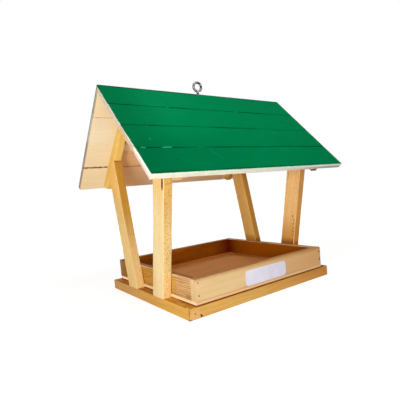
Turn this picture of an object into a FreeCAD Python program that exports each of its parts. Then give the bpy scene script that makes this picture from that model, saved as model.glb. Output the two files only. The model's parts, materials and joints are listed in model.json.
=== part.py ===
"""Hanging bird table in nailed pine, in millimetres.

+X runs along the ridge, -Y is the front and +Z is up. The origin is the centre of the
underside of the base frame.
"""
import FreeCAD, Part
import math
import os

Vector = FreeCAD.Vector
X_AXIS = Vector(1, 0, 0)
Y_AXIS = Vector(0, 1, 0)
Z_AXIS = Vector(0, 0, 1)

# Base frame: four flat rails, mitred at the corners
base_length = 272.0
base_depth = 236.0
base_thickness = 15.0
rail_width = 40.0

# Posts and rafters are ripped from one batten, so they share its thickness along X
batten_thickness = 13.0
post_width = 28.4
post_foot = 54.8
post_splay = math.radians(11.4)
rafter_depth = 13.5
rafter_setback = 10.0

# Roof: tongued and grooved boards that run along the ridge
roof_length = 350.0
roof_pitch = math.radians(45.0)
ridge_height = 310.0
board_count = 4
board_width = 46.2
board_thickness = 8.0
tongue_length = 3.0
tongue_thickness = 2.6
groove_clearance = 0.15
joint_bevel = 0.9
inner_bevel = 0.5

# Ridge beam: a square stick laid corner up in the apex
beam_side = 20.0

# Tray: a nailed box with a plywood floor, a hair above the base
tray_setback = 2.2
tray_lift = 0.9
wall_thickness = 10.0
wall_height = 28.2
floor_thickness = 4.0
drain_diameter = 4.0
drain_offset = 8.0

# Screw eye: one bent wire, screwed in by hand a little left of the middle
eye_offset = -9.0
wire_diameter = 4.0
eye_inner_diameter = 10.0
eye_neck = 2.6
eye_thread_length = 30.0
eye_point_length = 7.0
eye_mouth = math.radians(28.0)
eye_turn = -5.0

# Nails
pin_diameter = 1.2
pin_head_diameter = 1.9
pin_head_height = 0.6
pin_point = 1.6
nail_scale = 1.3
pin_cover = 1.5
wall_grip = 15.0
rail_grip = 26.0
end_grip = 20.0
floor_grip = 12.0
head_grip = 14.0
rail_pin_inset = 9.0
foot_pin_spacing = 12.0
ridge_pin_offset = 7.0
corner_pin_heights = {"left": (7.0, 23.5), "right": (9.0, 21.5)}
corner_pin_insets = {"left": 5.0, "right": 3.0}
long_wall_pin_count = 3
side_wall_pin_count = 2

# Softened arrises of the sawn wood
arris = 0.6
mitre_arris = 0.4

# Limits for what counts as parallel edges and as a real overlap of two solids
parallel_limit = 0.01
overlap_limit = 0.01

# Places that follow from the sizes above
tray_length = base_length - 2 * batten_thickness
tray_depth = base_depth - 2 * tray_setback
floor_bottom = base_thickness + tray_lift
wall_bottom = floor_bottom + floor_thickness
slope_length = board_count * board_width
batten_centre = (base_length - batten_thickness) / 2
inner_apex = ridge_height - board_thickness / math.cos(roof_pitch)
SIDES = {"front": -1, "rear": 1}
ENDS = {"left": -1, "right": 1}


def on_roof(side, along, depth):
    """Point at x = 0 of one slope: along is down the slope, depth is below its painted face."""
    y = along * math.cos(roof_pitch) - depth * math.sin(roof_pitch)
    z = ridge_height - along * math.sin(roof_pitch) - depth * math.cos(roof_pitch)
    return Vector(0, side * y, z)


def inward(side):
    """Unit vector into the roof, square to one slope."""
    return Vector(0, -side * math.sin(roof_pitch), -math.cos(roof_pitch))


def prism(points, start, length):
    """Solid with a flat outline in a plane of constant x, from x = start over length."""
    face = Part.Face(Part.makePolygon(points + [points[0]]))
    face.translate(Vector(start, 0, 0))
    return face.extrude(Vector(length, 0, 0))


def box(size_x, size_y, size_z, centre_x, centre_y, bottom):
    corner = Vector(centre_x - size_x / 2, centre_y - size_y / 2, bottom)
    return Part.makeBox(size_x, size_y, size_z, corner)


def soften(solid, direction, size=arris):
    """Take the arrises off the edges that run along one direction."""
    edges = []
    for edge in solid.Edges:
        run = edge.Vertexes[-1].Point - edge.Vertexes[0].Point
        if run.cross(direction).Length < parallel_limit * run.Length:
            edges.append(edge)
    return solid.makeChamfer(size, edges)


def nail(head_point, direction, length, scale=1.0):
    """Nail with its head's top at head_point, driven along direction."""
    head = scale * pin_head_diameter / 2
    shank = scale * pin_diameter / 2
    neck = scale * pin_head_height
    outline = [(0, 0), (head, 0), (head, neck), (shank, neck), (shank, length - pin_point), (0, length)]
    points = [Vector(radius, 0, depth) for radius, depth in outline]
    face = Part.Face(Part.makePolygon(points + [points[0]]))
    solid = face.revolve(Vector(0, 0, 0), Z_AXIS, 360)
    turn = FreeCAD.Rotation(Z_AXIS, direction)
    solid.Placement = FreeCAD.Placement(head_point, turn)
    return solid


def base_rails():
    """Front and rear rails run the full length, and every end is mitred."""
    rails = {}
    half_x = base_length / 2
    half_y = base_depth / 2
    inner_x = half_x - rail_width
    inner_y = half_y - rail_width
    for name, side in SIDES.items():
        outline = [(-half_x, half_y), (half_x, half_y), (inner_x, inner_y), (-inner_x, inner_y)]
        rails["base_rail_" + name] = rail([(x, side * y) for x, y in outline], X_AXIS)
    for name, end in ENDS.items():
        outline = [(half_x, -half_y), (half_x, half_y), (inner_x, inner_y), (inner_x, -inner_y)]
        rails["base_rail_" + name] = rail([(end * x, y) for x, y in outline], Y_AXIS)
    return rails


def rail(outline, direction):
    """One flat rail, its long arrises taken off, and the upright ones where the mitres meet."""
    points = [Vector(x, y, 0) for x, y in outline]
    face = Part.Face(Part.makePolygon(points + [points[0]]))
    return soften(soften(face.extrude(Vector(0, 0, base_thickness)), Z_AXIS, mitre_arris), direction)


def tray_pieces():
    """Plywood floor, two long boards over its edges and two side boards between them."""
    pieces = {}
    floor = box(tray_length, tray_depth, floor_thickness, 0, 0, floor_bottom)
    drain_foot = Vector(drain_offset, drain_offset, floor_bottom)
    pieces["tray_floor"] = floor.cut(Part.makeCylinder(drain_diameter / 2, floor_thickness, drain_foot))
    for name, side in SIDES.items():
        y = side * (tray_depth - wall_thickness) / 2
        board = box(tray_length, wall_thickness, wall_height, 0, y, wall_bottom)
        pieces["tray_board_" + name] = soften(board, X_AXIS)
    side_length = tray_depth - 2 * wall_thickness
    for name, end in ENDS.items():
        x = end * (tray_length - wall_thickness) / 2
        board = box(wall_thickness, side_length, wall_height, x, 0, wall_bottom)
        pieces["tray_side_" + name] = soften(board, Y_AXIS)
    return pieces


def post_line(offset, height):
    """Y of a line along the post's face: offset is measured inwards from its outer face."""
    run = post_foot - offset / math.cos(post_splay)
    return run + (height - base_thickness) * math.tan(post_splay)


def post_head(offset):
    """Height at which a line along the post meets the rafter's underside."""
    depth = board_thickness + rafter_depth
    lower_apex = ridge_height - depth / math.cos(roof_pitch)
    slope = math.tan(roof_pitch)
    at_foot = post_line(offset, base_thickness)
    lean = math.tan(post_splay)
    return (lower_apex - slope * (at_foot - lean * base_thickness)) / (1 + slope * lean)


def posts():
    """Splayed posts: a level foot on the base and a bevelled head under the rafter."""
    pieces = {}
    for side_name, side in SIDES.items():
        points = []
        for offset in (0, post_width):
            head = post_head(offset)
            pair = [Vector(0, side * post_line(offset, base_thickness), base_thickness),
                    Vector(0, side * post_line(offset, head), head)]
            points += pair if offset == 0 else pair[::-1]
        lean = Vector(0, side * math.sin(post_splay), math.cos(post_splay))
        for end_name, end in ENDS.items():
            start = end * batten_centre - batten_thickness / 2
            pieces["post_" + side_name + "_" + end_name] = soften(prism(points, start, batten_thickness), lean)
    return pieces


def rafters():
    """Battens under each slope that meet in a plumb mitre and end short of the eave."""
    pieces = {}
    top = board_thickness
    bottom = board_thickness + rafter_depth
    foot = slope_length - rafter_setback
    for side_name, side in SIDES.items():
        points = [on_roof(side, top * math.tan(roof_pitch), top), on_roof(side, foot, top),
                  on_roof(side, foot, bottom), on_roof(side, bottom * math.tan(roof_pitch), bottom)]
        down = Vector(0, side * math.cos(roof_pitch), -math.sin(roof_pitch))
        for end_name, end in ENDS.items():
            start = end * batten_centre - batten_thickness / 2
            pieces["rafter_" + side_name + "_" + end_name] = soften(prism(points, start, batten_thickness), down)
    return pieces


def ridge_beam():
    """Stick between the rafter pairs, its two upper faces flat against the boards."""
    rear = Vector(0, math.cos(roof_pitch), -math.sin(roof_pitch)) * beam_side
    front = Vector(0, -math.cos(roof_pitch), -math.sin(roof_pitch)) * beam_side
    apex = Vector(0, 0, inner_apex)
    return prism([apex, apex + rear, apex + rear + front, apex + front], -tray_length / 2, tray_length)


def board_outline(number):
    """Section of one roof board as (along, depth) pairs, number 0 being the ridge board."""
    upper = number * board_width
    lower = upper + board_width
    tongue = ((board_thickness - tongue_thickness) / 2, (board_thickness + tongue_thickness) / 2)
    groove = (tongue[0] - groove_clearance, tongue[1] + groove_clearance)
    groove_bottom = lower - tongue_length - 2 * groove_clearance
    if number == 0:
        top_edge = [(board_thickness * math.tan(roof_pitch), board_thickness), (0, 0)]
    else:
        top_edge = [(upper + inner_bevel, board_thickness), (upper, board_thickness - inner_bevel),
                    (upper, tongue[1]), (upper - tongue_length, tongue[1]),
                    (upper - tongue_length, tongue[0]), (upper, tongue[0]),
                    (upper, joint_bevel), (upper + joint_bevel, 0)]
    if number == board_count - 1:
        bottom_edge = [(lower, 0), (lower, board_thickness)]
    else:
        bottom_edge = [(lower - joint_bevel, 0), (lower, joint_bevel), (lower, groove[0]),
                       (groove_bottom, groove[0]), (groove_bottom, groove[1]), (lower, groove[1]),
                       (lower, board_thickness - inner_bevel), (lower - inner_bevel, board_thickness)]
    return top_edge + bottom_edge


def roof_boards():
    """Boards with the tongue up the slope, so that the joints shed water."""
    pieces = {}
    for name, side in SIDES.items():
        for number in range(board_count):
            points = [on_roof(side, along, depth) for along, depth in board_outline(number)]
            board = prism(points, -roof_length / 2, roof_length)
            pieces["roof_board_" + name + "_" + str(number + 1)] = board
    return pieces


def screw_eye():
    """Wire bent into a nearly closed ring over a pointed shank, standing on the ridge."""
    wire = wire_diameter / 2
    ring = eye_inner_diameter / 2 + wire
    bend = wire_diameter
    # The shank's line is tangent to the small bend, and the bend to the ring
    reach = math.asin(bend / (ring + bend))
    centre = eye_neck + wire + ring
    bend_foot = centre - (ring + bend) * math.cos(reach)
    touch = Vector(-ring * math.sin(reach), 0, centre - ring * math.cos(reach))
    bend_centre = Vector(-bend, 0, bend_foot)
    middle = bend_centre + Vector(bend * math.cos((math.pi / 2 - reach) / 2), 0,
                                  bend * math.sin((math.pi / 2 - reach) / 2))
    shank_foot = Vector(0, 0, -eye_thread_length + eye_point_length)
    knee = Vector(0, 0, bend_foot)

    def on_ring(angle):
        return Vector(ring * math.sin(angle), 0, centre - ring * math.cos(angle))

    last = 2 * math.pi - reach - eye_mouth
    path = Part.Wire([
        Part.LineSegment(shank_foot, knee).toShape(),
        Part.Arc(knee, middle, touch).toShape(),
        Part.Arc(touch, on_ring(-reach - last / 4), on_ring(-reach - last / 2)).toShape(),
        Part.Arc(on_ring(-reach - last / 2), on_ring(-reach - 3 * last / 4), on_ring(-reach - last)).toShape(),
    ])
    section = Part.Wire(Part.makeCircle(wire, shank_foot, Z_AXIS))
    bent = path.makePipeShell([section], True, False)
    point = Part.makeCone(0, wire, eye_point_length, Vector(0, 0, -eye_thread_length), Z_AXIS)
    eye = bent.fuse(point).removeSplitter()
    eye.rotate(Vector(0, 0, 0), Z_AXIS, eye_turn)
    eye.translate(Vector(eye_offset, 0, ridge_height))
    return eye


def spaced(length, count):
    """Places of evenly spaced nails along a centred length."""
    return [length * ((number + 0.5) / count - 0.5) for number in range(count)]


def nail_groups():
    """Every nail of the table, grouped by the joint that it holds."""
    groups = {name: [] for name in ("tray_pins", "base_pins", "roof_pins", "floor_pins",
                                    "foot_pins", "post_pins", "rafter_pins", "ridge_pins")}
    wall_centre = (tray_depth - wall_thickness) / 2
    for side in SIDES.values():
        for end_name, end in ENDS.items():
            x = end * batten_centre
            for height in corner_pin_heights[end_name]:
                place = Vector(end * (tray_length / 2 - corner_pin_insets[end_name]), side * tray_depth / 2,
                               wall_bottom + height)
                groups["tray_pins"].append(nail(place, Y_AXIS * -side, wall_thickness + wall_grip))
            place = Vector(end * (base_length / 2 - rail_pin_inset), side * base_depth / 2, base_thickness / 2)
            groups["base_pins"].append(nail(place, Y_AXIS * -side, rail_pin_inset + rail_grip))
            for number in range(board_count):
                place = on_roof(side, (number + 0.5) * board_width, 0) + X_AXIS * x
                groups["roof_pins"].append(nail(place, inward(side), board_thickness + rafter_depth - pin_cover))
            foot = post_line(post_width / 2, base_thickness)
            for step in (-foot_pin_spacing / 2, foot_pin_spacing / 2):
                place = Vector(x, side * (foot + step), 0)
                groups["foot_pins"].append(nail(place, Z_AXIS, base_thickness + end_grip, nail_scale))
            middle = wall_bottom + wall_height / 2
            place = Vector(end * (tray_length / 2 - wall_thickness),
                           side * post_line(post_width / 2, middle), middle)
            length = wall_thickness + batten_thickness - pin_cover
            groups["post_pins"].append(nail(place, X_AXIS * end, length))
            head_height = post_head(post_width / 2)
            head = Vector(x, side * post_line(post_width / 2, head_height), head_height)
            place = head - inward(side) * rafter_depth
            groups["rafter_pins"].append(nail(place, inward(side), rafter_depth + head_grip, nail_scale))
            drop = (board_thickness + rafter_depth / 2) / math.cos(roof_pitch)
            place = Vector(end * base_length / 2, side * ridge_pin_offset,
                           ridge_height - ridge_pin_offset * math.tan(roof_pitch) - drop)
            groups["ridge_pins"].append(nail(place, X_AXIS * -end, batten_thickness + end_grip, nail_scale))
        for x in spaced(tray_length, long_wall_pin_count):
            place = Vector(x, side * wall_centre, floor_bottom)
            groups["floor_pins"].append(nail(place, Z_AXIS, floor_thickness + floor_grip))
    for end in ENDS.values():
        for y in spaced(tray_depth, side_wall_pin_count):
            place = Vector(end * (tray_length - wall_thickness) / 2, y, floor_bottom)
            groups["floor_pins"].append(nail(place, Z_AXIS, floor_thickness + floor_grip))
    return groups


def bore_for(piece, fasteners):
    """Open the piece where a nail or the screw eye is driven through it."""
    tools = [tool for tool in fasteners if tool.BoundBox.intersect(piece.BoundBox)]
    tools = [tool for tool in tools if tool.common(piece).Volume > overlap_limit]
    return piece.cut(tools) if tools else piece


def main():
    os.makedirs("parts", exist_ok=True)
    wood = {**base_rails(), **tray_pieces(), **posts(), **rafters(), **roof_boards()}
    wood["ridge_beam"] = ridge_beam()
    eye = screw_eye()
    groups = nail_groups()
    fasteners = [eye] + [pin for pins in groups.values() for pin in pins]
    nodes = {name: bore_for(piece, fasteners) for name, piece in wood.items()}
    nodes["screw_eye"] = eye
    for name, pins in groups.items():
        nodes[name] = Part.makeCompound(pins)
    for name, shape in nodes.items():
        shape.exportStep("parts/" + name + ".step")
        print(name, len(shape.Solids), "solids", round(shape.Volume / 1000, 2), "cm3", shape.isValid())


main()
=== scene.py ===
"""Looks of the hanging bird table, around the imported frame.

+X runs along the ridge, -Y is the front and +Z is up, as in the CAD model. Materials are laid out in
millimetres and 8-bit display colours; the floor, the lamps and the camera are in metres.
"""
import json
import math

import bmesh
import bpy
from mathutils import Matrix, Vector

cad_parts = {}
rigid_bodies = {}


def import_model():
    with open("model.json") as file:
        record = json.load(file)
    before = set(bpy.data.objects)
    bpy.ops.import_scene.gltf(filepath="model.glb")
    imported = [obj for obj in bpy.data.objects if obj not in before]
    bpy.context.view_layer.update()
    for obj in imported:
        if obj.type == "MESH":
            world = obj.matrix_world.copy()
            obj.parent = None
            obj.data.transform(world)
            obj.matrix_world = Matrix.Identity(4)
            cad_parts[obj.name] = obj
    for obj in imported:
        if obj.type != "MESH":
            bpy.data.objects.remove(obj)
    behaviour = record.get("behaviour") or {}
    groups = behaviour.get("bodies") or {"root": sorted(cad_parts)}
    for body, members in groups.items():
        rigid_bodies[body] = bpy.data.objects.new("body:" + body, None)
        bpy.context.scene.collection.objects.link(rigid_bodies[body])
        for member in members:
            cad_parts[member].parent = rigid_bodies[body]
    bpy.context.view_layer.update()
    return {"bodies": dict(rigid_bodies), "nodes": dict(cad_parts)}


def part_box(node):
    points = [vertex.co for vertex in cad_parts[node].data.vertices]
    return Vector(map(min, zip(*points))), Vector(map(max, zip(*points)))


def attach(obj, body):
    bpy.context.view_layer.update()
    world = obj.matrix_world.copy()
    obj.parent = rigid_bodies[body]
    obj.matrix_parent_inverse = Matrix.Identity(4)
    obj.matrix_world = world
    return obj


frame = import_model()
nodes = frame["nodes"]
scene = bpy.context.scene

MM = 0.001
X, Y, Z = Vector((1, 0, 0)), Vector((0, 1, 0)), Vector((0, 0, 1))
SIDES = {"front": -1, "rear": 1}
ENDS = ("left", "right")

# Sizes of the CAD model, in millimetres: the roof's and the tray's halves from the frame
ridge_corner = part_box("roof_board_front_1")[1] / MM
ridge_height = ridge_corner.z
roof_half_length = ridge_corner.x
tray_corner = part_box("tray_board_front")[0] / MM
tray_half_length = -tray_corner.x
tray_half_depth = -tray_corner.y
board_width = 46.2
board_thickness = 8.0
board_count = 4
eave_edge = board_count * board_width
roof_pitch = math.radians(45.0)
post_splay = math.radians(11.4)


def slope(side):
    """Down the roof on one side."""
    return Vector((0, side * math.cos(roof_pitch), -math.sin(roof_pitch)))


def outward(side):
    """Out of the roof's painted face on one side."""
    return Vector((0, side * math.sin(roof_pitch), math.cos(roof_pitch)))


def lean(side):
    """Up the splayed posts of one side."""
    return Vector((0, side * math.sin(post_splay), math.cos(post_splay)))


def colour(red, green, blue):
    """Linear colour with alpha from an 8-bit display colour."""
    def linear(value):
        value /= 255
        return value / 12.92 if value <= 0.04045 else ((value + 0.055) / 1.055) ** 2.4
    return (linear(red), linear(green), linear(blue), 1.0)


# Cosines between which a face begins to count as looking along a direction
SQUARE_ON = (0.8, 0.95)


class Graph:
    """Short calls that add nodes to one shader tree."""

    def __init__(self, tree):
        self.tree = tree

    def put(self, socket, value):
        if isinstance(value, bpy.types.NodeSocket):
            self.tree.links.new(value, socket)
        else:
            socket.default_value = value

    def node(self, kind, inputs=None, **settings):
        made = self.tree.nodes.new("ShaderNode" + kind)
        for key, value in settings.items():
            setattr(made, key, value)
        for key, value in (inputs or {}).items():
            self.put(made.inputs[key], value)
        return made

    def math(self, operation, *values, clamp=False):
        made = self.node("Math", operation=operation, use_clamp=clamp)
        for index, value in enumerate(values):
            self.put(made.inputs[index], value)
        return made.outputs[0]

    def times(self, product, *factors):
        """Product of two or more values."""
        for factor in factors:
            product = self.math("MULTIPLY", product, factor)
        return product

    def swing(self, value, reach, middle=0.0):
        """Value between 0 and 1 spread over reach, half on either side of middle."""
        return self.math("MULTIPLY_ADD", value, reach, middle - reach / 2)

    def vector(self, operation, *values):
        made = self.node("VectorMath", operation=operation)
        for index, value in enumerate(values):
            self.put(made.inputs[index], value)
        return made.outputs["Value" if operation in ("DOT_PRODUCT", "LENGTH") else "Vector"]

    def dot(self, first, second):
        return self.vector("DOT_PRODUCT", first, second)

    def combine(self, x, y, z):
        return self.node("CombineXYZ", {"X": x, "Y": y, "Z": z}).outputs["Vector"]

    def split(self, vector):
        return self.node("SeparateXYZ", {"Vector": vector}).outputs

    def place(self):
        """Point of the surface in the row frame, in millimetres."""
        inputs = {"Vector": self.node("TexCoord").outputs["Object"], "Scale": 1 / MM}
        return self.node("VectorMath", inputs, operation="SCALE").outputs["Vector"]

    def normal(self):
        return self.node("TexCoord").outputs["Normal"]

    def facing(self, direction, full=1.0):
        """Full on the faces that look along a direction, and 0 on the others."""
        return self.ramp(self.dot(self.normal(), direction), *SQUARE_ON, 0.0, full)

    def noise(self, vector, scale=1.0, detail=2.0, roughness=0.5):
        inputs = {"Vector": vector, "Scale": scale, "Detail": detail, "Roughness": roughness}
        return self.node("TexNoise", inputs).outputs[0]

    def ramp(self, value, low, high, start=0.0, end=1.0):
        """Smooth step of value from low to high, giving start to end."""
        made = self.node("MapRange", interpolation_type="SMOOTHSTEP")
        for index, entry in enumerate((value, low, high, start, end)):
            self.put(made.inputs[index], entry)
        return made.outputs[0]

    def mix(self, factor, first, second, blend="MIX"):
        made = self.node("Mix", data_type="RGBA", blend_type=blend)
        self.put(made.inputs[0], factor)
        self.put(made.inputs[6], first)
        self.put(made.inputs[7], second)
        return made.outputs[2]

    def cover(self, tint, amount, paint):
        """Tint covered by a display colour, as far as amount says."""
        return self.mix(amount, tint, colour(*paint))

    def brighten(self, tint, amount):
        """Colour times a number."""
        return self.vector("MULTIPLY", tint, self.combine(amount, amount, amount))


def new_group(name, inputs, outputs):
    """Graph of a node group, what it is given and its result. Inputs and outputs are names by kind."""
    tree = bpy.data.node_groups.new(name, "ShaderNodeTree")
    for in_out, sockets in (("INPUT", inputs), ("OUTPUT", outputs)):
        for kind, keys in sockets.items():
            for key in keys:
                tree.interface.new_socket(key, in_out=in_out, socket_type="NodeSocket" + kind)
    entry = tree.nodes.new("NodeGroupInput")
    result = tree.nodes.new("NodeGroupOutput")
    return Graph(tree), entry.outputs, result.inputs


def new_material(name):
    material = bpy.data.materials.new(name)
    material.use_nodes = True
    material.node_tree.nodes.clear()
    return material, Graph(material.node_tree)


# Specular levels of the shaders
WOOD_SHINE = 0.08
PAINT_SHINE = 0.001
METAL_SHINE = 0.01


def finish_material(graph, tint, roughness, height, depth=0.12, shine=WOOD_SHINE, metallic=0.0):
    """Principled surface on the output, with a bump whose depth is in millimetres."""
    bump = graph.node("Bump", {"Strength": 1.0, "Distance": depth * MM, "Height": height})
    shader = graph.node("BsdfPrincipled", {
        "Base Color": tint, "Roughness": roughness, "Metallic": metallic, "Specular IOR Level": shine,
        "Normal": bump.outputs["Normal"]})
    graph.node("OutputMaterial", {"Surface": shader.outputs["BSDF"]}, is_active_output=True)


def dress(node, material):
    """Give a CAD node one material."""
    mesh = nodes[node].data
    mesh.materials.clear()
    mesh.materials.append(material)


# How far a seed that is larger by one moves the wood's noise along the grain, in millimetres
seed_step = 71.3


def make_sawn_wood():
    """Growth rings round a pith line, with fibres and blotches, so that end grain shows as well."""
    graph, given, result = new_group(
        "sawn_wood",
        {"Vector": ("Along", "Across", "Up", "Pith"),
         "Float": ("Spacing", "Seed", "Rings", "Streaks", "Speckle"),
         "Color": ("Early", "Late", "End")},
        {"Color": ("Color",), "Float": ("Height", "Rough")})
    place = graph.place()
    along, across, up = (graph.dot(place, given[axis]) for axis in ("Along", "Across", "Up"))
    along_seeded = graph.math("ADD", along, graph.times(given["Seed"], seed_step))
    grain = graph.combine(along_seeded, across, up)

    def stretched(slow, fast, detail=2.0, roughness=0.5):
        """Noise that changes slowly along the grain and fast across it."""
        return graph.noise(graph.vector("MULTIPLY", grain, (slow, fast, fast)), 1.0, detail, roughness)

    # Rings: the distance from the pith, bent and waved a little, in turns of the spacing
    from_pith = graph.vector("SUBTRACT", graph.combine(across, up, 0.0), given["Pith"])
    bend = graph.swing(stretched(0.008, 0.03), 14.0)
    wave = graph.swing(stretched(0.05, 0.15), 3.6)
    radius = graph.math("ADD", graph.vector("LENGTH", from_pith), graph.math("ADD", bend, wave))
    turns = graph.math("DIVIDE", radius, given["Spacing"])
    phase = graph.math("FRACT", turns)
    season = graph.noise(graph.combine(graph.times(turns, 0.45), given["Seed"], 0.0), 1.0, 1.0)
    late_wood = graph.times(graph.math("POWER", phase, 2.2), graph.ramp(phase, 1.0, 0.86),
                            graph.ramp(season, 0.3, 0.7, 0.35, 1.35))

    # Fibres, saw marks, blotches and dots
    fibre = stretched(0.02, 0.6, 3.0, 0.7)
    grit = stretched(0.16, 5.0, 2.0, 0.6)
    blotch = stretched(0.01, 0.05, 3.0)
    broken = graph.ramp(stretched(0.05, 0.3, 3.0, 0.65), 0.3, 0.62, 0.25, 1.25)
    dots = graph.ramp(stretched(0.4, 0.6, 2.0, 0.6), 0.56, 0.68)
    amount = graph.times(late_wood, broken, given["Rings"])
    amount = graph.math("MULTIPLY_ADD", graph.math("SUBTRACT", fibre, 0.5), given["Streaks"], amount)
    amount = graph.math("MULTIPLY_ADD", dots, given["Speckle"], amount)
    amount = graph.math("ADD", amount, graph.math("MULTIPLY_ADD", blotch, 0.9, -0.35), clamp=True)

    tone = graph.brighten(graph.mix(amount, given["Early"], given["Late"]), graph.swing(grit, 0.16, 1.0))
    end_tone = graph.brighten(given["End"], graph.math("MULTIPLY_ADD", amount, -0.28, 1.06))
    end_on = graph.math("ABSOLUTE", graph.dot(graph.normal(), given["Along"]))
    height = graph.math("MULTIPLY_ADD", fibre, 0.6, graph.times(grit, 0.4))
    graph.put(result["Color"], graph.mix(graph.ramp(end_on, 0.75, 0.9), tone, end_tone))
    graph.put(result["Height"], graph.math("MULTIPLY_ADD", late_wood, 0.35, height))
    graph.put(result["Rough"], graph.math("MULTIPLY_ADD", late_wood, -0.12, 0.68))
    return graph.tree


SAWN_WOOD = make_sawn_wood()


class Piece:
    """A piece's own axes: along the grain, across its width, and up through its thickness."""

    def __init__(self, along, across):
        self.along = along.normalized()
        self.across = across.normalized()
        self.up = self.along.cross(self.across)


def wood_tone(graph, piece, seed, early, late, end=(226, 182, 130), pith=(8.0, 40.0), spacing=3.2,
              rings=0.55, streaks=0.9, speckle=0.15):
    """The sawn wood group's outputs for one piece.

    Early and late are the colours between the rings and on them. Pith is where the rings have their
    middle, across the piece and up through it, and spacing is how far apart they are, in millimetres.
    """
    made = graph.node("Group", node_tree=SAWN_WOOD)
    values = {"Along": piece.along, "Across": piece.across, "Up": piece.up, "Pith": (*pith, 0.0),
              "Spacing": spacing, "Seed": seed, "Rings": rings, "Streaks": streaks, "Speckle": speckle,
              "Early": colour(*early), "Late": colour(*late), "End": colour(*end)}
    for key, value in values.items():
        made.inputs[key].default_value = value
    return made.outputs


class Mark:
    """A small mark, real or of painted shade or reflection: its colour, its middle and radii in
    millimetres, how deep and how ragged it is.
    """

    def __init__(self, stain_or_shade, centre, radii, axes=(X, Y, Z), dent=0.0, ragged=0.5, scale=0.8):
        self.stain_or_shade = stain_or_shade
        self.centre = centre
        self.radii = radii
        self.axes = axes
        self.dent = dent
        self.ragged = ragged
        self.scale = scale

    def mask(self, graph):
        """1 inside the ragged ellipsoid."""
        place = graph.place()
        local = graph.vector("SUBTRACT", place, self.centre)
        parts = [graph.math("DIVIDE", graph.dot(local, axis), radius)
                 for axis, radius in zip(self.axes, self.radii)]
        distance = graph.vector("LENGTH", graph.combine(*parts))
        wobble = graph.swing(graph.noise(place, self.scale, 3.0, 0.6), self.ragged)
        return graph.ramp(graph.math("ADD", distance, wobble), 1.1, 0.8)


def shaded(graph, tint, shades):
    """Tint multiplied by a colour on the faces that look along a direction: painted shade, or a darker
    tone of the wood.

    A shade may add an axis and two places along it, in millimetres, between which it sets in.
    """
    for direction, stain_or_shade, *fade in shades:
        amount = graph.facing(direction)
        if fade:
            axis, none, full = fade
            amount = graph.times(amount, graph.ramp(graph.dot(graph.place(), axis), none, full))
        tint = graph.mix(amount, tint, colour(*stain_or_shade), "MULTIPLY")
    return tint


# Share of a face that shows its painted light or shade
painted_face_share = 0.8


def painted_face_light_and_shade(graph, tint, faces):
    """Tint mostly covered by painted light or shade on the faces that look along a direction."""
    for direction, light_or_shade in faces:
        tint = graph.cover(tint, graph.facing(direction, painted_face_share), light_or_shade)
    return tint


def specked(graph, tint, specks):
    """Tint with small dark specks, of some strength, on the faces that look along a direction."""
    dots = graph.ramp(graph.noise(graph.place(), 0.6, 2.0, 0.6), 0.55, 0.62)
    for direction, stain_or_shade, strength in specks:
        tint = graph.cover(tint, graph.times(dots, graph.facing(direction, strength)), stain_or_shade)
    return tint


def painted_tray_shadow(graph, tint):
    """Painted contact shadow: a dark line on top of the base, round the foot of the tray, and over the
    arris next to it.
    """
    at = graph.split(graph.place())
    past_end = graph.math("SUBTRACT", graph.math("ABSOLUTE", at["X"]), tray_half_length)
    past_side = graph.math("SUBTRACT", graph.math("ABSOLUTE", at["Y"]), tray_half_depth)
    near = graph.ramp(graph.math("MAXIMUM", past_end, past_side), 2.6, 1.9)
    level = graph.ramp(graph.dot(graph.normal(), Z), 0.5, 0.68)
    return graph.cover(tint, graph.times(near, level), (156, 90, 30))


def plain_wood(node, piece, seed, early, late, marks=(), shades=(), faces=(), specks=(), tray_shadow=False,
               **grain):
    """One board or batten. Shades, faces and specks are as above, and grain is what wood_tone takes."""
    material, graph = new_material("wood_" + node)
    made = wood_tone(graph, piece, seed, early, late, **grain)
    tint = specked(graph, painted_face_light_and_shade(graph, shaded(graph, made["Color"], shades), faces), specks)
    # Painted contact shadow round the tray's foot
    if tray_shadow:
        tint = painted_tray_shadow(graph, tint)
    height = made["Height"]
    for mark in marks:
        mask = mark.mask(graph)
        tint = graph.cover(tint, mask, mark.stain_or_shade)
        height = graph.math("MULTIPLY_ADD", mask, -mark.dent, height)
    finish_material(graph, tint, made["Rough"], height)
    dress(node, material)


# Base frame, with a knot, a darker tip at its foot and mottles near its front left corner
knot_up = Vector((-0.6, 0, 1)).normalized()
knot_axes = (knot_up.cross(Y), Y, knot_up)
base_knot = Mark((82, 44, 20), (-118.4, -118.0, 2.9), (1.3, 3.0, 2.6), knot_axes, dent=2.0)
base_pale_corner = Mark((222, 172, 106), (-127.0, -118.0, 4.0), (10.0, 3.0, 9.0), ragged=1.4, scale=0.35)
base_tip = Mark((150, 118, 66), (-135.6, -117.6, 0.4), (3.0, 3.0, 2.2))
base_mitre_line = Mark((140, 92, 44), (-135.9, -118.0, 11.0), (0.9, 1.2, 5.0))
base_mottles = [Mark((204, 152, 50), (-126.0, -63.0, 15.0), (5.0, 13.0, 2.0), ragged=1.6, scale=0.25),
                Mark((210, 158, 58), (-131.0, -92.0, 15.0), (4.0, 9.0, 2.0), ragged=1.6, scale=0.3),
                Mark((222, 172, 84), (-133.5, -113.0, 15.0), (3.0, 5.0, 2.0), ragged=1.2, scale=0.3),
                Mark((208, 140, 52), (-127.0, -78.0, 15.0), (3.0, 6.0, 2.0), ragged=1.6, scale=0.3)]
mitre_seams = [(Vector((x, y, 0)).normalized(), (120, 84, 50)) for x in (-1, 1) for y in (-1, 1)]
# Painted shade on the top of the base's front right corner, beside the tray
painted_base_corner_shade = (176, 146, 170)


def base_rail(name, piece, seed, early=(221, 172, 92), late=(190, 133, 58), top=(236, 209, 126),
              shades=(), **looks):
    """One rail, with its mitre seams and the painted shadow line round the tray."""
    plain_wood("base_rail_" + name, piece, seed, early, late, end=(206, 150, 84), tray_shadow=True,
               shades=[(Z, top), *shades, *mitre_seams], **looks)


# The front rail's face darkens towards its right end as painted shade
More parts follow.
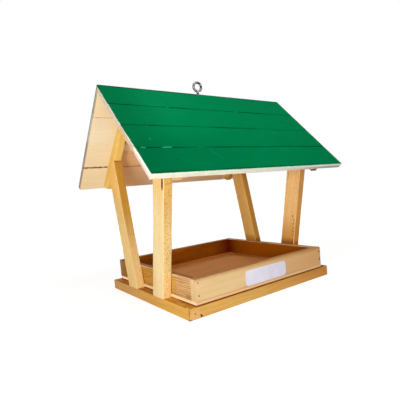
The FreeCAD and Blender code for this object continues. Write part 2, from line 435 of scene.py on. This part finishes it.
base_rail("front", Piece(X, Y), 1.0, pith=(-30.0, -55.0), spacing=4.0, rings=0.3,
          marks=[base_pale_corner, base_mitre_line, base_tip, base_knot],
          shades=[(-Y, (240, 218, 200), X, -20.0, 130.0), (Z, painted_base_corner_shade, X, 121.0, 125.0)])
base_rail("rear", Piece(X, Y), 2.0, pith=(60.0, 30.0), spacing=3.6)
base_rail("left", Piece(Y, X), 3.0, (213, 165, 98), (182, 128, 62), (240, 212, 142),
          pith=(-140.0, -40.0), spacing=3.4, rings=0.4, speckle=0.3, marks=[*base_mottles, base_tip],
          shades=[(Z, (255, 252, 214), -Y, 40.0, 100.0), (-X, (255, 250, 205), -Y, -80.0, 80.0)])
base_rail("right", Piece(Y, X), 4.0, pith=(130.0, 50.0), spacing=3.8,
          shades=[(Z, painted_base_corner_shade, -Y, 70.0, 110.0)])

# Axes of the marks on posts and rafters: along X, along the batten and out of its face
post_axes = {name: (X, lean(side), X.cross(lean(side))) for name, side in SIDES.items()}
rear_rafter_axes = (X, slope(1), outward(1))

# Tray, with painted shade on its inner faces and in its corners
tray_early = (224, 182, 127)
tray_end = (212, 179, 129)
painted_inner_shade = (204, 150, 43)
painted_tray_corner_shade = (175, 74, 110)
front_arris = (Z - Y).normalized()
left_arris = (Z - X).normalized()
# Painted contact shadows: dark lines where the side board meets the posts' front faces
painted_post_shadows = [Mark((150, 92, 36), (-123.0, -58.3, 32.0), (2.5, 26.0, 1.1), post_axes["front"]),
              Mark((128, 76, 30), (-123.0, 26.8, 30.5), (2.5, 18.0, 1.1), post_axes["rear"])]
nail_stains = [Mark((96, 60, 26), (120.4, -115.8, z), (1.5, 1.5, 1.5), ragged=0.3) for z in (28.6, 41.1)]
ragged_patch = Mark((162, 124, 74), (-123.0, -98.5, 22.6), (3.0, 7.5, 2.4), ragged=1.8)
# Painted shade on the left board's upper arris behind the rear left post
painted_rear_arris_shade = Mark((118, 84, 58), (-122.6, 94.0, 48.1), (2.0, 17.0, 1.4), ragged=0.2)
# Front board: painted shade on its top, upper arris and inner face, and on its front face towards the
# right and along the top
plain_wood("tray_board_front", Piece(X, Z), 5.0, (231, 199, 147), (214, 170, 110), end=tray_end,
           pith=(90.0, 60.0), spacing=5.0, rings=0.25, marks=nail_stains,
           faces=[(Z, (174, 116, 58)), (front_arris, (196, 148, 92))],
           shades=[(Y, painted_inner_shade), (-Y, (241, 219, 203), X, -70.0, 110.0),
                   (-Y, (216, 188, 154), Z, 42.5, 49.5), (-Y, (204, 206, 204), X, 120.6, 122.4)])
# Rear board: painted shade on its top, upper arris and inner face, and towards the right-hand corner
plain_wood("tray_board_rear", Piece(X, Z), 6.0, tray_early, (170, 110, 56), end=(158, 114, 72),
           pith=(90.0, -100.0), spacing=4.2, rings=0.9,
           faces=[(Z, (150, 110, 80)), (front_arris, (130, 82, 42))],
           shades=[(-Y, painted_inner_shade), (-Y, painted_tray_corner_shade, X, 58.0, 126.0)])
# Left board: painted shade on its top and inner face, and a painted highlight on its outer upper arris
plain_wood("tray_side_left", Piece(Y, Z), 7.0, (216, 171, 114), (146, 96, 50), end=tray_end,
           pith=(-90.0, -118.0), spacing=3.0, rings=1.0, marks=[ragged_patch, painted_rear_arris_shade, *painted_post_shadows],
           faces=[(Z, (162, 96, 38)), (left_arris, (255, 232, 190))],
           shades=[(X, painted_inner_shade), (-X, (250, 246, 182), -Y, 76.0, 66.0),
                   (-X, (248, 232, 204), -Y, 66.0, 20.0), (-X, (212, 204, 196), Y, 60.0, 95.0)])
# Right board: painted shade on its top and inner face and towards the rear corner, and a painted
# highlight on its inner upper arris
plain_wood("tray_side_right", Piece(Y, Z), 8.0, tray_early, (202, 147, 88), end=tray_end,
           pith=(-80.0, 90.0), spacing=4.2, rings=0.8,
           faces=[(Z, (190, 142, 94)), (left_arris, (222, 186, 138))],
           shades=[(-X, (188, 131, 22)), (-X, painted_tray_corner_shade, Y, 72.0, 112.0)])

# Height of the plywood floor's core, in millimetres
core_middle = 17.6


def plywood(node):
    """Face veneers above and below, and on the edges the core and its end grain."""
    material, graph = new_material("plywood_" + node)
    face = wood_tone(graph, Piece(X, Y), 9.0, (210, 144, 70), (180, 108, 46), end=(250, 216, 170),
                     pith=(300.0, 900.0), spacing=13.0, rings=0.35, streaks=0.8)
    core = wood_tone(graph, Piece(Y, X), 10.0, (248, 214, 166), (226, 178, 122), end=(250, 216, 168),
                     spacing=9.0, rings=0.2)
    at = graph.split(graph.place())
    off_middle = graph.math("ABSOLUTE", graph.math("SUBTRACT", at["Z"], core_middle))
    level = graph.math("ABSOLUTE", graph.dot(graph.normal(), Z))
    upright = graph.ramp(level, 0.5, 0.3, 0.0, 0.8)
    in_core = graph.math("MAXIMUM", graph.ramp(off_middle, 1.0, 0.85), upright)
    tint = graph.mix(in_core, face["Color"], core["Color"])
    # Painted light on a strip along the rear wall, against the shade that falls there
    tint = graph.brighten(tint, graph.ramp(at["Y"], 78.0, 98.0, 1.0, 1.5))
    tint = shaded(graph, tint, [(-Y, (241, 229, 216))])
    finish_material(graph, tint, 0.66, face["Height"], 0.1)
    dress(node, material)


plywood("tray_floor")

# Posts
post_crack = Mark((98, 38, 0), (-136.0, -81.9, 168.5), (2.4, 8.5, 2.2), post_axes["front"],
                  dent=1.0, ragged=0.7)
head_line = Mark((146, 94, 32), (-129.5, 65.9, 213.7), (9.0, 1.3, 4.0), post_axes["rear"], ragged=0.2)
# Worm marks on the left face of the front right post: y, z, and the radii up the post and across it
worm_places = ((-64.0, 97.0, 2.2, 1.3), (-65.5, 90.0, 2.0, 0.9), (-64.2, 84.0, 1.9, 1.4),
               (-63.4, 77.0, 2.0, 1.2), (-62.4, 71.0, 1.7, 1.3), (-61.0, 64.0, 1.6, 1.1),
               (-66.4, 64.0, 1.2, 0.8))
worm_marks = [Mark((182, 124, 64), (123.0, y, z), (1.0, up, across), post_axes["front"],
                   dent=1.0, ragged=1.2)
              for y, z, up, across in worm_places]
# Painted contact shadow on a right-hand post's front face, at its foot behind the tray's board
painted_foot_shadow = (-Y, (205, 185, 150), -Z, -56.0, -49.0)
# On the right-hand posts, the shades that set in below about 65 mm are painted contact shadow behind the
# tray's board
post_looks = {
    "post_front_left": {
        "early": (239, 211, 158), "late": (216, 168, 98), "seed": 11.0, "pith": (-160.0, -10.0),
        "rings": 0.35, "speckle": 0.3, "marks": [post_crack], "specks": [(-Y, (200, 138, 66), 0.85)],
        "shades": [(-Y, (255, 248, 222)), (-Y, (250, 236, 210), Z, 100.0, 160.0),
                   (-X, (250, 254, 255)), (-X, (252, 245, 224), Z, 130.0, 170.0)]},
    # The rear left post's front face darkens towards its head as painted shade
    "post_rear_left": {
        "early": (236, 202, 136), "late": (210, 156, 84), "seed": 12.0, "pith": (-160.0, 10.0),
        "marks": [head_line], "specks": [(-Y, (198, 130, 60), 0.5), (-X, (208, 150, 92), 0.5)],
        "shades": [(-Y, (214, 188, 110), Z, 45.0, 150.0), (-X, (255, 240, 205), Z, 110.0, 190.0)]},
    "post_front_right": {
        "early": (255, 211, 143), "late": (230, 174, 100), "seed": 13.0, "pith": (100.0, -10.0),
        "speckle": 0.2, "marks": worm_marks, "specks": [(-X, (196, 134, 70), 0.4)],
        "shades": [(-X, (228, 208, 168), -Z, -105.0, -58.0), (-Y, (228, 200, 168)),
                   (-Y, (243, 236, 210), -Z, -110.0, -60.0), (-X, (168, 143, 117), -Z, -62.0, -49.0),
                   painted_foot_shadow]},
    "post_rear_right": {
        "early": (243, 195, 111), "late": (210, 153, 79), "seed": 14.0, "pith": (100.0, 10.0),
        "shades": [(-Y, (226, 208, 170)), (-X, (212, 189, 147), -Z, -64.0, -50.0), painted_foot_shadow]},
}
for side_name, side in SIDES.items():
    for end_name in ENDS:
        name = "post_" + side_name + "_" + end_name
        plain_wood(name, Piece(lean(side), X), spacing=3.4, **{"rings": 0.5, **post_looks[name]})

# Rafters and ridge beam
rafter_early = (242, 202, 108)
rafter_late = (218, 165, 74)
# End grain of the left-hand and right-hand rafters, the right-hand one darker as painted shade
rafter_ends = {"left": (236, 196, 130), "right": (136, 112, 92)}
# Painted shade on the tails of the right-hand rafters: colour, and the heights between which it sets in
painted_tail_shade = {"rear": ((196, 180, 166), 182.0, 173.0), "front": ((172, 186, 250), 188.0, 180.0)}
rafter_marks = [
    Mark((172, 116, 54), (-123.2, 53.4, 226.2), (0.9, 19.0, 3.0), rear_rafter_axes, ragged=0.4),
    Mark((96, 48, 14), (-123.4, 41.5, 238.0), (1.3, 4.6, 3.0), rear_rafter_axes, dent=1.0, ragged=0.4)]
seed = 15.0
for side_name, side in SIDES.items():
    for end_name in ENDS:
        name = "rafter_" + side_name + "_" + end_name
        shades = [(-X, (238, 238, 244))]
        # Right-hand rafters: painted shade on the tail's left face and on the underside
        if end_name == "right":
            stain_or_shade, none, full = painted_tail_shade[side_name]
            shades += [(-X, stain_or_shade, -Z, -none, -full), (-outward(side), (214, 196, 184))]
        plain_wood(name, Piece(slope(side), X), seed, rafter_early, rafter_late,
                   end=rafter_ends[end_name], pith=(30.0, 20.0), spacing=3.0, rings=0.3, shades=shades,
                   marks=rafter_marks if name == "rafter_rear_left" else ())
        seed += 1.0
plain_wood("ridge_beam", Piece(X, Y), seed, rafter_early, rafter_late, pith=(0.0, 290.0), spacing=3.0)

# Roof boards: paint on the outer face, bare wood on edges and inside
paint_green = (0, 138, 82)
groove_green = (0, 70, 40)
run_green = (8, 92, 56)
ridge_green = (24, 88, 62)
scuffed_green = (40, 164, 112)


class RoofPlace:
    """Where a point lies on one slope, in millimetres: x, down the slope and under the painted face."""

    def __init__(self, graph, side):
        local = graph.vector("SUBTRACT", graph.place(), (0.0, 0.0, ridge_height))
        self.x = graph.split(local)["X"]
        self.from_middle = graph.math("ABSOLUTE", self.x)
        self.down = graph.dot(local, slope(side))
        self.to_eave = graph.math("SUBTRACT", eave_edge, self.down)
        self.depth = graph.times(graph.dot(local, outward(side)), -1.0)
        self.point = graph.combine(self.x, self.down, self.depth)
        # Cosine between the surface and the painted face
        self.facing = graph.dot(graph.normal(), outward(side))


def paint_coat(graph, at, brush):
    """Green with brush marks, with painted shade along the left gable and towards the lower left corner,
    and painted light high up the slope.
    """
    cloud = graph.noise(at.point, 0.03, 2.0)
    tint = graph.brighten(colour(*paint_green)[:3],
                          graph.math("ADD", graph.swing(brush, 0.2, 1.0), graph.swing(cloud, 0.16)))
    corner = graph.times(graph.ramp(at.down, 90.0, 150.0), graph.ramp(at.x, 30.0, -90.0))
    gable = graph.times(graph.ramp(at.x, -90.0, -170.0), graph.math("MULTIPLY_ADD", corner, -0.12, 0.32))
    light_and_shade = graph.math("SUBTRACT", graph.math("MULTIPLY_ADD", corner, -0.17, 1.0), gable)
    return graph.brighten(tint, graph.times(light_and_shade, graph.ramp(at.down, 30.0, 170.0, 1.17, 1.0)))


def dark_lines(graph, at, tint):
    """Darker paint in the joints, where it lies thick, and along the ridge and the eave."""
    patchy = graph.noise(graph.vector("MULTIPLY", at.point, (0.016, 0.05, 0.0)), 1.0, 2.0)
    boards = graph.math("ADD", graph.math("DIVIDE", at.down, board_width), 0.5)
    off_joint = graph.math("ABSOLUTE", graph.math("SUBTRACT", graph.math("FRACT", boards), 0.5))
    near_joint = graph.ramp(graph.times(off_joint, board_width), 1.5, 0.6)
    inside = graph.times(graph.ramp(at.down, 20.0, 30.0), graph.ramp(at.down, 165.0, 155.0))
    # The middle joint is nearly closed at its right end
    off_middle = graph.math("ABSOLUTE", graph.math("SUBTRACT", at.down, 2 * board_width))
    closed = graph.times(graph.ramp(off_middle, 20.0, 10.0), graph.ramp(at.x, 30.0, 90.0))
    groove = graph.times(near_joint, inside, graph.ramp(patchy, 0.4, 0.6, 0.5, 1.0),
                         graph.math("MULTIPLY_ADD", closed, -0.75, 1.0))
    ridge = graph.times(graph.ramp(at.down, 4.2, 2.2), graph.ramp(patchy, 0.4, 0.55, 0.3, 0.8))
    eave = graph.times(graph.ramp(at.to_eave, 3.6, 2.2), graph.ramp(patchy, 0.4, 0.55, 0.25, 0.6))
    tint = graph.cover(tint, groove, groove_green)
    tint = graph.cover(tint, ridge, ridge_green)
    return graph.cover(tint, eave, groove_green)


def worn_paint(graph, at, tint):
    """Tint with the paint that ran over the arris, and how much paint is left there and elsewhere."""
    ragged = graph.noise(at.point, 0.35, 4.0, 0.65)
    outer = graph.ramp(at.facing, 0.3, 0.5)
    further_up = graph.ramp(at.down, 160.0, 100.0, 0.0, 1.5)
    reach = graph.math("MULTIPLY_ADD", graph.ramp(ragged, 0.35, 0.7), 0.9, further_up)
    run_over = graph.ramp(at.depth, reach, graph.math("SUBTRACT", reach, 0.3))
    tint = graph.cover(tint, graph.times(run_over, graph.math("SUBTRACT", 1.0, outer)), run_green)
    ridge = graph.times(graph.ramp(at.down, 1.5, 1.0), graph.ramp(at.depth, 1.5, 1.0))
    painted = graph.math("MAXIMUM", outer, graph.math("MAXIMUM", run_over, ridge))
    to_gable = graph.math("SUBTRACT", roof_half_length, at.from_middle)
    to_edge = graph.math("MINIMUM", to_gable, at.to_eave)
    worn = graph.times(outer, graph.ramp(to_edge, graph.ramp(ragged, 0.45, 0.75), 0.0),
                       graph.ramp(at.down, 90.0, 140.0, 0.1, 1.0))
    return tint, graph.math("MULTIPLY", painted, graph.math("SUBTRACT", 1.0, worn), clamp=True)


def make_paint(side):
    """Colour, roughness and height of a roof board, from its bare wood and how scuffed it is."""
    graph, given, result = new_group(
        "roof_paint_" + str(side), {"Color": ("Bare",), "Float": ("Scuffs",)},
        {"Color": ("Color",), "Float": ("Rough", "Height")})
    at = RoofPlace(graph, side)
    brush = graph.noise(graph.vector("MULTIPLY", at.point, (0.02, 0.9, 1.0)), 1.0, 3.0, 0.6)
    tint = dark_lines(graph, at, paint_coat(graph, at, brush))
    tint = graph.cover(tint, given["Scuffs"], scuffed_green)
    tint, left = worn_paint(graph, at, tint)
    dull = graph.math("MULTIPLY_ADD", brush, 0.1, 0.62)
    graph.put(result["Color"], graph.mix(left, given["Bare"], tint))
    graph.put(result["Rough"], graph.math("MULTIPLY_ADD", left, -0.26, dull))
    graph.put(result["Height"], graph.times(left, graph.math("MULTIPLY_ADD", brush, 1.2, 1.0)))
    return graph.tree


PAINT = {name: make_paint(side) for name, side in SIDES.items()}
# Joint below each board but the last: half width of its dark line, how much that wanders, and its colour
JOINT_LINES = {
    1: (0.6, 1.6, (176, 136, 96)),
    2: (0.3, 1.0, (200, 164, 128)),
    3: (1.6, 5.0, (124, 72, 42)),
}
# Early and late wood of each board, and its end grain on either slope
BOARD_TONES = {
    1: ((238, 218, 178), (228, 196, 148), {"front": (208, 192, 170), "rear": (183, 166, 139)}),
    2: ((238, 222, 188), (230, 202, 158), {"front": (208, 189, 172), "rear": (196, 182, 164)}),
    3: ((238, 219, 180), (228, 196, 150), {"front": (204, 176, 150), "rear": (176, 150, 136)}),
    4: ((238, 219, 178), (230, 198, 150), {"front": (216, 192, 176), "rear": (172, 144, 130)}),
}
# Least reach of the pale ground coat below the painted face, in millimetres
front_ground_coat = {1: 1.6, 2: 1.6, 3: 1.8, 4: 3.4}
rear_ground_coat = 0.2
# Distances from the middle, outside and inside the rafters' outer faces
behind_rafter = (124.0, 121.0)


def eave_face(graph, at, tint):
    """Cloudy pale wood on the lowest board's edge, with painted shade towards the right."""
    cloudy = graph.ramp(graph.noise(at.point, 0.05, 3.0, 0.6), 0.35, 0.65)
    edge = graph.mix(cloudy, colour(248, 243, 220), colour(244, 232, 208))
    edge = graph.cover(edge, graph.ramp(at.x, -100.0, 20.0), (246, 236, 224))
    edge = graph.cover(edge, graph.ramp(at.x, 20.0, 165.0), (184, 171, 158))
    return graph.mix(graph.ramp(at.down, eave_edge - 0.5, eave_edge - 0.1), tint, edge)


def inner_joints(graph, at, number, tint):
    """Dark joints on the inner face, fainter between the rafters and worst at the lowest one."""
    wander = graph.noise(at.point, 0.22, 3.0, 0.7)
    inner = graph.ramp(at.depth, board_thickness - 1.0, board_thickness - 0.3)
    fainter = graph.ramp(at.from_middle, *behind_rafter, 1.0, 0.5)
    for joint in (number - 1, number):
        if joint in JOINT_LINES:
            reach, swing, stain_or_shade = JOINT_LINES[joint]
            off = graph.math("ABSOLUTE", graph.math("SUBTRACT", at.down, joint * board_width))
            edge = graph.swing(wander, swing, reach)
            line = graph.ramp(off, edge, graph.math("SUBTRACT", edge, 0.5))
            tint = graph.cover(tint, graph.times(line, inner, fainter), stain_or_shade)
    return tint


def painted_roof_shade(graph, at, side, tint):
    """Painted shade, darker and redder, between the rafters, but painted light high up beside the rear
    left one.
    """
    inside_shade = graph.times(graph.ramp(at.from_middle, *behind_rafter),
                            graph.ramp(at.depth, board_thickness - 0.4, board_thickness - 0.1))
    stain_or_shade = graph.mix(graph.ramp(at.x, -112.0, -50.0), colour(255, 219, 188), colour(240, 218, 212))
    if side > 0:
        high_up = graph.ramp(at.down, 111.0, 101.0, 0.0, 0.85)
        pale = graph.times(inside_shade, high_up, graph.ramp(at.x, -75.0, -100.0))
        inside_shade = graph.math("SUBTRACT", inside_shade, pale)
        tint = graph.brighten(tint, graph.math("MULTIPLY_ADD", pale, 0.14, 1.0))
    return graph.mix(inside_shade, tint, stain_or_shade, "MULTIPLY")


def bare_wood(graph, side, number, tint):
    """A roof board's bare wood with what shows on its edges and inside."""
    at = RoofPlace(graph, side)
    if number == board_count:
        tint = eave_face(graph, at, tint)
    # Pale line where the paint's ground coat ran over the arris
    ragged = graph.noise(at.point, 0.5, 3.0, 0.6)
    least = front_ground_coat[number] if side < 0 else rear_ground_coat
    coat = graph.math("MULTIPLY_ADD", ragged, 2.0, least)
    line = graph.ramp(at.depth, coat, graph.math("SUBTRACT", coat, 0.8))
    tint = graph.cover(tint, line, (232, 248, 226))
    tint = inner_joints(graph, at, number, tint)
    return painted_roof_shade(graph, at, side, tint)


# Scuffs of the front slope: place along the ridge and down the slope, length, width, turn and strength
SCUFFS = [(-165.0, 138.6, 4.0, 1.5, 0.0, 0.9), (-133.5, 138.2, 8.0, 1.5, -0.1, 1.0),
          (-87.5, 46.0, 2.2, 1.4, 0.0, 0.8), (-104.0, 43.0, 9.0, 1.2, 0.0, 0.3),
          (-148.9, 121.5, 1.6, 1.6, 0.0, 0.7), (-141.4, 94.6, 1.8, 1.2, 0.0, 0.45),
          (-7.1, 34.0, 3.0, 2.0, 0.0, 0.3), (-66.0, 151.0, 17.0, 1.6, 1.1, 0.22),
          (-83.0, 138.6, 6.0, 1.4, 0.0, 0.4), (41.0, 46.5, 2.6, 4.0, 0.0, 0.4),
          (84.0, 104.0, 8.0, 5.0, 0.6, 0.2), (70.0, 146.0, 12.0, 6.0, 0.3, 0.16)]
scuff_depth = 3.0


def front_scuffs(graph, number):
    """How scuffed one board of the front slope is."""
    down = slope(SIDES["front"])
    out = outward(SIDES["front"])
    scuffed = 0.0
    for x, below_ridge, length, width, turn, strength in SCUFFS:
        if (number - 1) * board_width - length < below_ridge < number * board_width + length:
            centre = Vector((x, 0, ridge_height)) + below_ridge * down
            lengthways = math.cos(turn) * X + math.sin(turn) * down
            sideways = math.cos(turn) * down - math.sin(turn) * X
            mark = Mark(scuffed_green, centre, (length, width, scuff_depth), (lengthways, sideways, out),
                        ragged=1.2, scale=0.6)
            scuffed = graph.math("MAXIMUM", scuffed, graph.times(mark.mask(graph), strength))
    return scuffed


def roof_board(side_name, number):
    """One roof board: its own wood, and the slope's paint over it."""
    side = SIDES[side_name]
    name = "roof_board_" + side_name + "_" + str(number)
    early, late, ends = BOARD_TONES[number]
    seed = 30.0 + 5 * number + side
    material, graph = new_material("roof_" + name)
    wood = wood_tone(graph, Piece(X, slope(side)), seed, early, late, end=ends[side_name],
                     pith=(40.0 * number, 160.0 + 20 * number), spacing=4.4, rings=0.16)
    bare = bare_wood(graph, side, number, wood["Color"])
    paint = graph.node("Group", {"Bare": bare}, node_tree=PAINT[side_name])
    if side_name == "front":
        graph.put(paint.inputs["Scuffs"], front_scuffs(graph, number))
    painted = paint.outputs
    height = graph.math("MULTIPLY_ADD", wood["Height"], 0.5, painted["Height"])
    finish_material(graph, painted["Color"], painted["Rough"], height, shine=PAINT_SHINE)
    dress(name, material)


for side_name in SIDES:
    for number in range(1, board_count + 1):
        roof_board(side_name, number)


# Metal
def metal(name, tint, dark, roughness, scale, metallic, marks=()):
    """Clouded and scratched metal. Scale is how fine the clouds are."""
    material, graph = new_material(name)
    place = graph.place()
    cloud = graph.noise(place, scale, 4.0, 0.6)
    scratch = graph.noise(graph.vector("MULTIPLY", place, (3.0, 3.0, 0.4)), scale * 2, 3.0, 0.7)
    mixed = graph.mix(graph.ramp(cloud, 0.48, 0.62), colour(*tint), colour(*dark))
    for mark in marks:
        mixed = graph.cover(mixed, mark.mask(graph), mark.stain_or_shade)
    rough = graph.math("MULTIPLY_ADD", scratch, 0.25, roughness - 0.1)
    finish_material(graph, mixed, rough, graph.math("ADD", cloud, scratch), 0.03, METAL_SHINE, metallic)
    return material


nail_steel = metal("nail_steel", (124, 58, 14), (84, 38, 10), 0.6, 0.8, 0.0)
for joint in ("tray", "base", "floor", "foot", "post", "rafter", "ridge"):
    dress(joint + "_pins", nail_steel)
# Middles and radii of the painted dark reflections inside the screw eye's ring and at its foot
eye_reflection_places = (((-13.3, 3.1, 320.8), 3.0), ((-5.1, -2.8, 321.8), 2.6), ((-8.8, 0.0, 311.0), 2.6))
painted_eye_reflections = [Mark((30, 27, 33), centre, (radius, radius, radius)) for centre, radius in eye_reflection_places]
dress("screw_eye", metal("plated_steel", (136, 134, 142), (60, 57, 64), 0.3, 0.3, 1.0, painted_eye_reflections))


def painted_pins():
    """Nail heads under the roof's paint."""
    material, graph = new_material("painted_pin_heads")
    cloud = graph.noise(graph.place(), 0.9, 3.0, 0.6)
    tint = graph.mix(graph.ramp(cloud, 0.35, 0.7), colour(0, 84, 46), colour(0, 62, 34))
    finish_material(graph, tint, 0.5, cloud, 0.05, PAINT_SHINE)
    dress("roof_pins", material)


painted_pins()

# Blank label on the front board
label_length = 80.0
label_height = 21.5
label_corner = 5.5
label_thickness = 0.22
label_middle = 31.0
corner_steps = 8


def label_film():
    """Cloudy white film with a little dust."""
    material, graph = new_material("label_film")
    cloud = graph.noise(graph.place(), 0.05, 2.0)
    dust = graph.noise(graph.place(), 1.4, 3.0, 0.7)
    tint = graph.mix(graph.ramp(cloud, 0.3, 0.7), colour(232, 230, 242), colour(222, 218, 234))
    tint = graph.cover(tint, graph.ramp(dust, 0.66, 0.8, 0.0, 0.25), (190, 176, 168))
    finish_material(graph, tint, graph.math("MULTIPLY_ADD", dust, 0.15, 0.3), cloud, 0.05)
    return material


def make_label():
    """Thin plate with round corners, against the front board."""
    work = bmesh.new()
    outline = []
    for turn, (side_x, side_z) in enumerate(((1, 1), (-1, 1), (-1, -1), (1, -1))):
        centre_x = side_x * (label_length / 2 - label_corner)
        centre_z = label_middle + side_z * (label_height / 2 - label_corner)
        for step in range(corner_steps + 1):
            angle = math.pi / 2 * (turn + step / corner_steps)
            x = centre_x + label_corner * math.cos(angle)
            z = centre_z + label_corner * math.sin(angle)
            outline.append(work.verts.new((x * MM, -tray_half_depth * MM, z * MM)))
    pushed = bmesh.ops.extrude_face_region(work, geom=[work.faces.new(outline)])["geom"]
    moved = [part for part in pushed if isinstance(part, bmesh.types.BMVert)]
    bmesh.ops.translate(work, verts=moved, vec=(0, -label_thickness * MM, 0))
    bmesh.ops.recalc_face_normals(work, faces=work.faces)
    mesh = bpy.data.meshes.new("blank_label")
    work.to_mesh(mesh)
    work.free()
    mesh.materials.append(label_film())
    label = bpy.data.objects.new("blank_label", mesh)
    scene.collection.objects.link(label)
    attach(label, "root" if "root" in frame["bodies"] else list(frame["bodies"])[0])


make_label()

# Floor and world, in metres
WHITE = (1, 1, 1, 1)
floor_reach = 6.0
floor_drop = 0.0004
floor_tint = (0.82, 0.82, 0.82, 1.0)
shadow_tint = (0.3, 0.3, 0.3, 1.0)
# The floor's own glow: distances from the middle, and its strengths there
glow_near, glow_far = 0.35, 1.1
glow_under, glow_away = 0.84, 1.0
world_strength = 0.07


def seen_plainly(graph):
    """1 for the rays that show the background: from the camera, off metal and through glass."""
    rays = graph.node("LightPath").outputs
    seen = graph.math("MAXIMUM", rays["Is Camera Ray"], rays["Is Glossy Ray"])
    return graph.math("MAXIMUM", seen, rays["Is Transmission Ray"])


def make_floor():
    """Floor that looks nearly white and still shows the table's shadow."""
    mesh = bpy.data.meshes.new("floor")
    corners = [(x * floor_reach, y * floor_reach, 0) for x, y in ((-1, -1), (1, -1), (1, 1), (-1, 1))]
    mesh.from_pydata(corners, [], [(0, 1, 2, 3)])
    floor = bpy.data.objects.new("floor", mesh)
    floor.location = (0, 0, -floor_drop)
    scene.collection.objects.link(floor)
    material, graph = new_material("pale_floor")
    plain = graph.node("BsdfDiffuse", {"Color": floor_tint}).outputs[0]
    catcher = graph.node("BsdfDiffuse", {"Color": shadow_tint}).outputs[0]
    away = graph.vector("LENGTH", graph.node("TexCoord").outputs["Object"])
    strength = graph.ramp(away, glow_near, glow_far, glow_under, glow_away)
    glow = graph.node("Emission", {"Color": WHITE, "Strength": strength}).outputs[0]
    shown = graph.node("AddShader", {0: catcher, 1: glow}).outputs[0]
    mixed = graph.node("MixShader", {0: seen_plainly(graph), 1: plain, 2: shown})
    graph.node("OutputMaterial", {"Surface": mixed.outputs[0]})
    mesh.materials.append(material)


def make_world():
    """White where it is seen, and a weak light from all round."""
    world = bpy.data.worlds.new("studio")
    world.use_nodes = True
    world.node_tree.nodes.clear()
    graph = Graph(world.node_tree)
    light = graph.node("Background", {"Color": WHITE, "Strength": world_strength}).outputs[0]
    white = graph.node("Background", {"Color": WHITE, "Strength": 1.0}).outputs[0]
    mixed = graph.node("MixShader", {0: seen_plainly(graph), 1: light, 2: white})
    graph.node("OutputWorld", {"Surface": mixed.outputs[0]})
    scene.world = world


make_floor()
make_world()

# Lamps: place, target and size in metres, power in watts
middle = (0, 0, 0.12)
LAMPS = {
    "front_top": ((0.1, -1.3, 1.7), middle, 0.8, 11.5),
    "left_top": ((-1.5, -0.4, 1.4), middle, 0.8, 5.8),
    "left": ((-0.72, -0.47, 0.14), middle, 0.3, 4.4),
    "front": ((-0.35, -0.8, 0.12), middle, 0.2, 1.0),
    "back": ((0.9, 1.4, 1.5), middle, 1.0, 14.0),
    "from_tray": ((-0.06, 0.02, 0.05), (-0.07, 0.05, 0.2), 0.06, 0.034),
}
for name, (place, target, size, power) in LAMPS.items():
    data = bpy.data.lights.new(name, "AREA")
    data.size = size
    data.energy = power
    lamp = bpy.data.objects.new(name, data)
    lamp.visible_camera = False
    lamp.location = place
    aim = Vector(target) - Vector(place)
    lamp.rotation_mode = "QUATERNION"
    lamp.rotation_quaternion = aim.to_track_quat("-Z", "Y")
    scene.collection.objects.link(lamp)

# Camera where the photograph was taken from: a pinhole fitted to the edges of the table
camera_place = Vector((-0.35981, -0.48378, 0.15940))
camera_yaw = 0.62809
camera_pitch = -0.06937
camera_roll = -0.08732
focal_pixels = 362.868
image_pixels = 400
principal = (208.488, 212.596)


def make_camera():
    """Camera at the fitted place, with the lens and the shift that the fitted pinhole has."""
    data = bpy.data.cameras.new("camera")
    data.sensor_width = 36.0
    data.lens = data.sensor_width * focal_pixels / image_pixels
    data.shift_x = (image_pixels / 2 - principal[0]) / image_pixels
    data.shift_y = (principal[1] - image_pixels / 2) / image_pixels
    data.clip_start = 0.01
    camera = bpy.data.objects.new("camera", data)
    forward = Vector((math.sin(camera_yaw) * math.cos(camera_pitch),
                      math.cos(camera_yaw) * math.cos(camera_pitch), math.sin(camera_pitch)))
    level = Vector((math.cos(camera_yaw), -math.sin(camera_yaw), 0))
    above = level.cross(forward)
    right = level * math.cos(camera_roll) + above * math.sin(camera_roll)
    top = above * math.cos(camera_roll) - level * math.sin(camera_roll)
    turn = Matrix((right, top, -forward)).transposed()
    camera.matrix_world = Matrix.Translation(camera_place) @ turn.to_4x4()
    scene.collection.objects.link(camera)
    scene.camera = camera


make_camera()
scene.view_settings.view_transform = "Standard"
